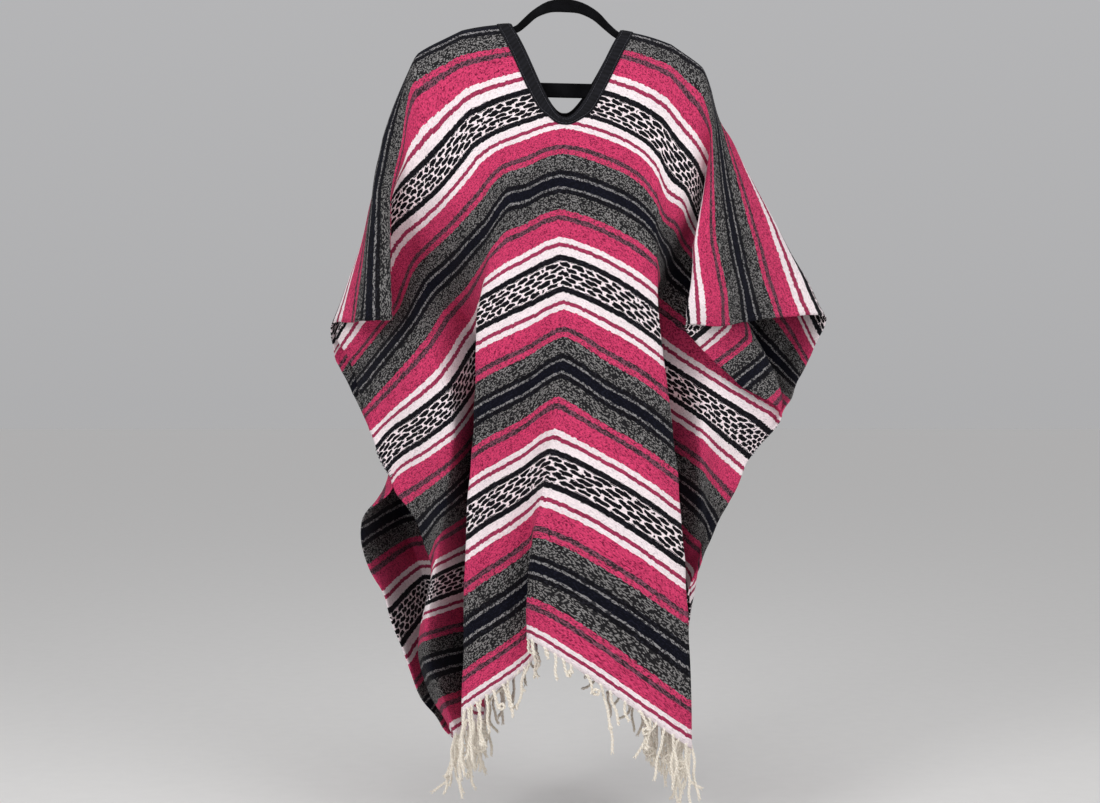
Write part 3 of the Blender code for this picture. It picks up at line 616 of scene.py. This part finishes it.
turn = np.arange(NECK_STATIONS) * 2 * pi / NECK_STATIONS
edge_across, edge_fall = neck_edge(turn)
edge = np.stack([edge_across, edge_fall], 1)
run = np.roll(edge, -3, axis=0) - np.roll(edge, 3, axis=0)
outward = unit(np.stack([run[:, 1], -run[:, 0]], 1))
for _ in range(20):
    outward = (np.roll(outward, 3, axis=0) + 2 * outward + np.roll(outward, -3, axis=0)) / 4
outward = unit(outward)
foot_share = ease(0.80, 1.0, np.abs(edge_fall) / NECK_DEPTH)
tape_width = TAPE_WIDTH + (TAPE_WIDTH_FOOT - TAPE_WIDTH) * foot_share
edge_length = np.cumsum(np.linalg.norm(edge - np.roll(edge, 1, axis=0), axis=1))


def off_edge(stations, reach, lift):
    """Places a reach in mm from the neck's edge on the cut, lifted off the cloth's middle."""
    k = np.asarray(stations, int) % len(turn)
    return on_cloth(edge_across[k] + outward[k, 0] * reach, edge_fall[k] + outward[k, 1] * reach, lift)


def lapped(stations, reach):
    """1 where a second layer of tape lies: a square lap, 14 mm long, 24 mm before the left shoulder,
    and a slanted one, 12 mm long, at the foot of the V."""
    at = edge_length[stations]
    foot = np.interp(0.272 * pi * 2, turn, edge_length)
    square = np.abs(at - edge_length[NECK_STATIONS // 2] + 24) < 7
    slanted = np.abs(at - foot - 0.8 * reach) < 6
    return (square | slanted) * 1.0


low, high = TAPE_OFF, TAPE_OFF + TAPE_THICK
# across the tape: share of its width, mm added to that, height off the cloth's middle
leaf = (
    (1, 0, low), (1, 0, high * 0.92), (1, -0.8, high), (1, -SEWN_IN + 0.8, high + 0.15),
    (1, -SEWN_IN, high - 0.55), (1, -SEWN_IN - 0.8, high + 0.15), (0.5, 0.5, high + 0.3),
    (0, SEWN_IN + 0.8, high + 0.15), (0, SEWN_IN, high - 0.55), (0, SEWN_IN - 0.9, high + 0.1),
)
stations = np.arange(0, NECK_STATIONS, 2)
rings = []
for side in (1, -1):
    outer = []
    for part, more, height in leaf:
        reach = tape_width[stations] * part + more
        lap = lapped(stations, reach) * LAP_RISE * (height > low)
        outer.append(off_edge(stations, reach, side * (height + lap)))
    rings.append(outer)
edge_point = off_edge(stations, 0, 0)
into_hole = unit(edge_point - off_edge(stations, 1.5, 0))
roll = []
for angle in (55, 20, -20, -55):
    out, up = np.cos(np.radians(angle)) * ROLL_REACH, np.sin(np.radians(angle)) * (high - 0.2)
    normal = facing(edge_across[stations], edge_fall[stations])
    roll.append(edge_point + (into_hole * (out + 0.2) + normal * up) * MM)
under = [off_edge(stations, 0.4, -low), off_edge(stations, 0.4, low)]
rings = np.stack(rings[0] + roll + rings[1][::-1] + under, 1)
reaches = np.arange(rings.shape[1]) * 2.2
tape_uv = np.stack(np.broadcast_arrays(edge_length[stations][:, None], reaches), 2) * MM
tape_faces = tube_faces(*rings.shape[:2], True)
binding = mesh_piece("neck_binding_tape", rings, [tape_faces], tape_uv, closed=True)

# Black cotton twill: a dull weave of slanting ribs, a little grayer in rubbed patches. The ribs lie
# 5.6 mm apart, because the real ones, about 1 mm apart, would not show.
tape, tree, shader = new_material("black_cotton_twill_tape")
place = add(tree, "UVMap", uv_map="cloth")
twill = {"Vector": place, "Scale": 80.0, "Distortion": 0.6}
twill = add(tree, "TexWave", twill, bands_direction="DIAGONAL")
worn = add(tree, "TexNoise", {"Vector": place, "Scale": 60.0, "Detail": 3.0})
mixed = add(tree, "Math", {0: twill, 1: 0.4, 2: worn}, operation="MULTIPLY_ADD")
shade = add(tree, "MapRange", {0: mixed, 1: 0.35, 2: 1.05})
shade = add(tree, "Mix", {0: shade, 6: linear("#0A0A0D"), 7: linear("#1B1B20")}, 2, data_type="RGBA")
tree.links.new(shade, shader.inputs["Base Color"])
shader.inputs["Roughness"].default_value = 0.85
shader.inputs["Specular IOR Level"].default_value = 0.15
bump = add(tree, "Bump", {"Height": twill, "Distance": 0.0005, "Strength": 0.5})
tree.links.new(bump, shader.inputs["Normal"])
binding.data.materials.append(tape)
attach(binding, "root")
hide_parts("neck_binding")

# The tape is sewn down by machine with black polyester thread: a row of short lockstitches along
# each of its edges, on both faces, with a slight gloss to the thread and painted glints in its colour.
stitch_at = np.arange(STITCH_STEP / 2, edge_length[-1] - 1, STITCH_STEP)
along_stitch = stitch_at[:, None] + np.array([-1.5, -0.8, 0, 0.8, 1.5])
stations = np.interp(along_stitch, edge_length, np.arange(float(NECK_STATIONS)))
flat = np.round(stations).astype(int).ravel()
paths = []
for side in (1, -1):
    for part, more in ((1, -SEWN_IN), (0, SEWN_IN)):
        rise = np.tile([-0.5, 0.1, 0.3, 0.1, -0.5], len(stitch_at)) + lapped(flat, 10) * LAP_RISE
        places = off_edge(flat, tape_width[flat] * part + more, side * (high + rise))
        paths.append(places.reshape(-1, 5, 3))
paths = np.concatenate(paths)
stitches = tubes("tape_stitches", paths, 0.42 * MM, np.array([0.31, 0.9, 0.3]), 4)
thread, tree, shader = new_material("black_polyester_thread")
# lighter gray spots mixed into the thread's black: painted glints, not the thread's own colour
painted_glint = add(tree, "TexNoise", {"Vector": add(tree, "UVMap", uv_map="cloth"), "Scale": 900.0})
shade = add(tree, "Mix", {0: painted_glint, 6: linear("#1E1E24"), 7: linear("#45454E")}, 2, data_type="RGBA")
tree.links.new(shade, shader.inputs["Base Color"])
shader.inputs["Roughness"].default_value = 0.55
stitches.data.materials.append(thread)
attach(stitches, "root")

# The sides are held together by hand, with whip stitches of the same thread round both selvedges:
# eight in a hand's width on each side.
TACKS = 8
LOOP_THROUGH = 3.7
LOOP_OUT = 4.2
LOOP_IN = 1.6
LOOP_POINTS = 17
paths = []
for half, (top, foot) in ((-1, TACK_LEFT), (1, TACK_RIGHT)):
    fall = np.linspace(top + 6, foot - 6, TACKS)
    selvedge = half * (CUT_WIDTH / 2 - 1.0)
    front, back = on_cloth(selvedge, fall), on_cloth(selvedge, -fall)
    inner = (on_cloth(selvedge - half * 8, fall) + on_cloth(selvedge - half * 8, -fall)) / 2
    middle = (front + back) / 2
    through_both = unit(front - back)
    out = unit(middle - inner)
    down = unit(np.gradient(middle, axis=0))
    angle = np.linspace(0, 2 * pi, LOOP_POINTS)[None, :, None]
    loop = through_both[:, None] * np.sin(angle) * LOOP_THROUGH
    loop = loop + out[:, None] * (np.cos(angle) * LOOP_OUT - LOOP_IN)
    slant = down[:, None] * (np.linspace(-2.2, 2.2, LOOP_POINTS)[None, :, None])
    paths.append(middle[:, None] + (loop + slant) * MM)
tacks = tubes("side_tacks", np.concatenate(paths), 0.6 * MM, np.array([0.1, 0.2, 1.0]))
tacks.data.materials.append(thread)
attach(tacks, "root")

# The fringe is the blanket's own warp ends below each hem: undyed cotton yarn of two plies, left as
# it came off the loom, so some strands are long, some curl back on themselves and some are knotted.
PLY = 1.45
TWIST = 13.0
STRAND_POINTS = 64

# The strands in the open middle of the front hem, one by one: place across the cut and length in
# mm, then in degrees the angle at the root and the lean that it settles to (positive to the right)
# and how far it curls by its end, and last where its knot is, as a share of its length, or 0
OPEN_STRANDS = (
    (-158, 92, -10, -4, 10, 0), (-150, 84, 10, 3, 0, 0), (-143, 88, 0, -3, -20, 0),
    (-135, 74, 20, 4, 0, 0.9), (-128, 80, -15, 2, 25, 0), (-119, 62, 0, 3, 0, 0),
    (-109, 58, 10, 20, 330, 0), (-96, 56, 25, 20, -15, 0), (-88, 50, -10, 12, 0, 0.8),
    (-70, 72, -60, -48, 20, 0), (-60, 42, -20, -5, 40, 0), (-50, 80, -25, -14, 0, 0.95),
    (-38, 36, 10, -4, 0, 0), (-31, 40, -10, 3, 30, 0), (-24, 34, 20, 5, -40, 0),
    (-15, 30, 0, 12, 0, 0), (-4, 26, 10, 0, 60, 0), (12, 24, 0, 10, 0, 0), (30, 20, 20, 5, 0, 0.5),
    (42, 42, 0, 9, 0, 0), (50, 30, 15, -5, 40, 0), (58, 22, 0, 0, 0, 0.6), (72, 62, 30, 15, 320, 0),
    (84, 112, 20, 12, -10, 0.62), (93, 56, 0, 18, 0, 0), (106, 34, -10, 4, 30, 0),
    (118, 66, 40, 25, -330, 0), (128, 52, 0, -8, 0, 0.9), (135, 66, -40, -34, 10, 0),
    (143, 84, -20, -11, 0, 0), (152, 90, 10, 3, -15, 0), (161, 74, -60, -5, 20, 0),
    (170, 104, 0, 5, 0, 0),
)
CORNER_STEP = 23.0
OPEN_FROM, OPEN_TO = -165.0, 176.0
CORNER_LENGTHS = ((-675, 112), (-520, 100), (-300, 92), (-165, 96), (176, 100), (400, 104), (675, 114))


def strands(open_rows, seed):
    """The strands of one hem as rows of the table above: those of the open middle that are given,
    and beside them, or all along, one every CORNER_STEP of random length and lean."""
    chance = np.random.default_rng(seed)
    low, high = (OPEN_FROM, OPEN_TO) if open_rows else (0, 0)
    reach = CUT_WIDTH / 2 - 6
    left = np.arange(-reach, low, CORNER_STEP)
    right = np.arange(high + CORNER_STEP / 2, reach, CORNER_STEP)
    place = np.concatenate([left, right])
    n = len(place)
    length = np.interp(place, *np.array(CORNER_LENGTHS).T) * chance.uniform(0.66, 1.04, n)
    made = np.stack([
        place + chance.uniform(-4, 4, n), length, chance.normal(0, 22, n), chance.normal(0, 4, n),
        np.where(chance.random(n) < 0.12, chance.choice([-300, 280], n), chance.normal(0, 25, n)),
        np.where(chance.random(n) < 0.2, chance.uniform(0.5, 0.95, n), 0),
    ], 1)
    rows = np.concatenate([made, np.array(open_rows, float).reshape(-1, 6)])
    return rows, chance


def fringe(name, side, open_rows, seed):
    """Two plies wound round each strand's path. The path is the running sum of short steps whose
    angle from straight down fades from the root's to the strand's lean, waves, and then curls."""
    rows, chance = strands(open_rows, seed)
    place, length, start, lean, curl, knot = rows.T[:, :, None]
    n = len(rows)
    along = np.linspace(0, 1, STRAND_POINTS)[None, :]
    run = length * along
    wave = np.sin(run / chance.uniform(5, 9, (n, 1)) + chance.uniform(0, 6, (n, 1)))
    wave = wave * chance.uniform(5, 16, (n, 1)) * ease(0, 0.3, along)
    angle = lean + (start - lean) * np.exp(-run / 12) + wave + curl * ease(0.35, 1, along) ** 1.3
    angle = np.radians(angle)
    forth = 0.16 * np.sin(run / chance.uniform(7, 12, (n, 1)) + chance.uniform(0, 6, (n, 1)))
    forth = forth - 0.10 * side * np.abs(curl / 300)
    step = unit(np.stack([np.sin(angle), forth, -np.cos(angle)], 2))
    step = step * (length / (STRAND_POINTS - 1))[:, :, None]
    root = on_cloth(place[:, 0], np.full(n, side * (CUT_FALL - 2.5)))
    path = root[:, None] + (np.cumsum(step, axis=1) - step[:, :1]) * MM
    swell = 1 + 0.95 * np.exp(-(((run - knot * length) / 2.6) ** 2)) * (knot > 0)
    swell = swell + 0.35 * np.exp(-((run / 4) ** 2))
    fray = ease(0.94, 1, along)
    tangent = unit(np.gradient(path, axis=1))
    across = unit(np.cross(tangent, [0, 1, 0.02]))
    up = np.cross(across, tangent)
    ply_paths = []
    for half in (0, pi):
        phase = (run * 2 * pi / TWIST + half)[:, :, None]
        off = (0.85 * PLY * swell * (1 + 0.9 * fray))[:, :, None]
        ply_paths.append(path + (across * np.cos(phase) + up * np.sin(phase)) * off * MM)
    radius = np.concatenate([PLY * swell * (1 - 0.55 * fray)] * 2) * MM
    return tubes(name, np.concatenate(ply_paths), radius, np.array([0.0, 1.0, 0.02]))


front_fringe = fringe("front_fringe_strands", 1, OPEN_STRANDS, 11)
back_fringe = fringe("back_fringe_strands", -1, (), 12)

# Undyed two-ply cotton, spun and not mercerised: a matt cream yarn, painted darker in the grooves
# between its fibres, where shade falls: painted shade, from the same noise that raises its bumps.
cotton, tree, shader = new_material("undyed_cotton_yarn")
place = add(tree, "Mapping", {0: add(tree, "UVMap", uv_map="cloth"), "Scale": (500, 300, 1)})
fibre = add(tree, "TexNoise", {"Vector": place, "Scale": 1.0, "Detail": 3.0})
# the low grooves of the fibre noise get the darker cream: painted shade
shade = add(tree, "MapRange", {0: fibre, 1: 0.3, 2: 0.7})
shade = add(tree, "Mix", {0: shade, 6: linear("#D6CCBC"), 7: linear("#FDF7EC")}, 2, data_type="RGBA")
tree.links.new(shade, shader.inputs["Base Color"])
shader.inputs["Roughness"].default_value = 0.92
shader.inputs["Specular IOR Level"].default_value = 0.25
bump = add(tree, "Bump", {"Height": fibre, "Distance": 0.0006, "Strength": 0.5})
tree.links.new(bump, shader.inputs["Normal"])
for made, node in ((front_fringe, "front_fringe"), (back_fringe, "back_fringe")):
    made.data.materials.append(cotton)
    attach(made, "root")
    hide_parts(node)

# The hanger is a flat one of moulded plastic with a trouser bar, under a coat of black nylon flock:
# a dense short pile that gives back almost no light, but for a soft rim.
flock, tree, shader = new_material("black_nylon_flock")
place = add(tree, "TexCoord", out=3)
fuzz = add(tree, "TexNoise", {"Vector": place, "Scale": 900.0, "Detail": 2.0})
rubbed = add(tree, "TexNoise", {"Vector": place, "Scale": 40.0, "Detail": 2.0})
mixed = add(tree, "Math", {0: fuzz, 1: rubbed}, operation="MULTIPLY")
shade = add(tree, "MapRange", {0: mixed, 1: 0.12, 2: 0.42})
shade = add(tree, "Mix", {0: shade, 6: linear("#030304"), 7: linear("#111114")}, 2, data_type="RGBA")
tree.links.new(shade, shader.inputs["Base Color"])
shader.inputs["Roughness"].default_value = 1.0
shader.inputs["Specular IOR Level"].default_value = 0.1
shader.inputs["Sheen Weight"].default_value = 0.10
shader.inputs["Sheen Roughness"].default_value = 0.4
bump = add(tree, "Bump", {"Height": fuzz, "Distance": 0.0006, "Strength": 0.6})
tree.links.new(bump, shader.inputs["Normal"])
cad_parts["hanger_frame"].material_slots[0].material = flock

# The hook is bent from drawn steel wire, fixed in the top of the hanger and chromed: smooth and
# bright, with faint draw marks along it.
chrome, tree, shader = new_material("chromed_steel_wire")
place = add(tree, "Mapping", {0: add(tree, "TexCoord", out=3), "Scale": (900, 900, 60)})
drawn = add(tree, "TexNoise", {"Vector": place, "Scale": 1.0})
dull = add(tree, "MapRange", {0: drawn, 3: 0.10, 4: 0.24})
tree.links.new(dull, shader.inputs["Roughness"])
shader.inputs["Base Color"].default_value = linear("#C9CBD0")
shader.inputs["Metallic"].default_value = 1.0
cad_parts["hanger_hook"].material_slots[0].material = chrome

# A pale studio, open on all sides: a wide floor of paper, a large soft lamp on each side of the
# camera, one above, and a pale sky that meets the far floor in the floor's own tone.
FLOOR_REACH = 40.0
floor_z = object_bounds()[0][2] - 0.03
corners = np.array([(-1, -1, 0), (1, -1, 0), (-1, 1, 0), (1, 1, 0)]) * FLOOR_REACH + [0, 0, floor_z]
floor = mesh_piece("floor", corners, [np.array([[0, 1, 3, 2]])])
paper, tree, shader = new_material("matt_studio_paper")
grain = add(tree, "TexNoise", {"Vector": add(tree, "TexCoord", out=3), "Scale": 30.0, "Detail": 4.0})
shade = add(tree, "Mix", {0: grain, 6: linear("#E6E5E3"), 7: linear("#EBEAE8")}, 2, data_type="RGBA")
tree.links.new(shade, shader.inputs["Base Color"])
shader.inputs["Roughness"].default_value = 0.95
floor.data.materials.append(paper)

# where each lamp is, where it points, its width in metres and its power in watts
for name, spot, aim, width, power in (
    ("lamp_left", (-1.9, -2.6, 0.5), (0, 0, -0.6), 1.1, 40),
    ("lamp_right", (2.0, -2.4, 0.1), (0, 0, -0.7), 1.6, 33),
    ("lamp_top", (0.0, -1.2, 1.7), (0, 0, -0.5), 1.5, 15),
):
    lamp = bpy.data.objects.new(name, bpy.data.lights.new(name, "AREA"))
    lamp.data.size = width
    lamp.data.energy = power
    lamp.location = spot
    way = np.array(aim) - np.array(spot)
    lamp.rotation_euler = (np.arctan2(np.hypot(way[0], way[1]), -way[2]), 0, np.arctan2(-way[0], way[1]))
    bpy.context.scene.collection.objects.link(lamp)
world = bpy.data.worlds.new("studio")
world.use_nodes = True
tree = world.node_tree
toward = add(tree, "SeparateXYZ", {0: add(tree, "TexCoord", out=0)})
rise = add(tree, "MapRange", {0: toward.node.outputs[2], 1: 0.0, 2: 1.0, 3: 0.47, 4: 0.63})
tree.nodes["Background"].inputs[0].default_value = linear("#F4F4F6")
tree.links.new(rise, tree.nodes["Background"].inputs[1])
bpy.context.scene.world = world
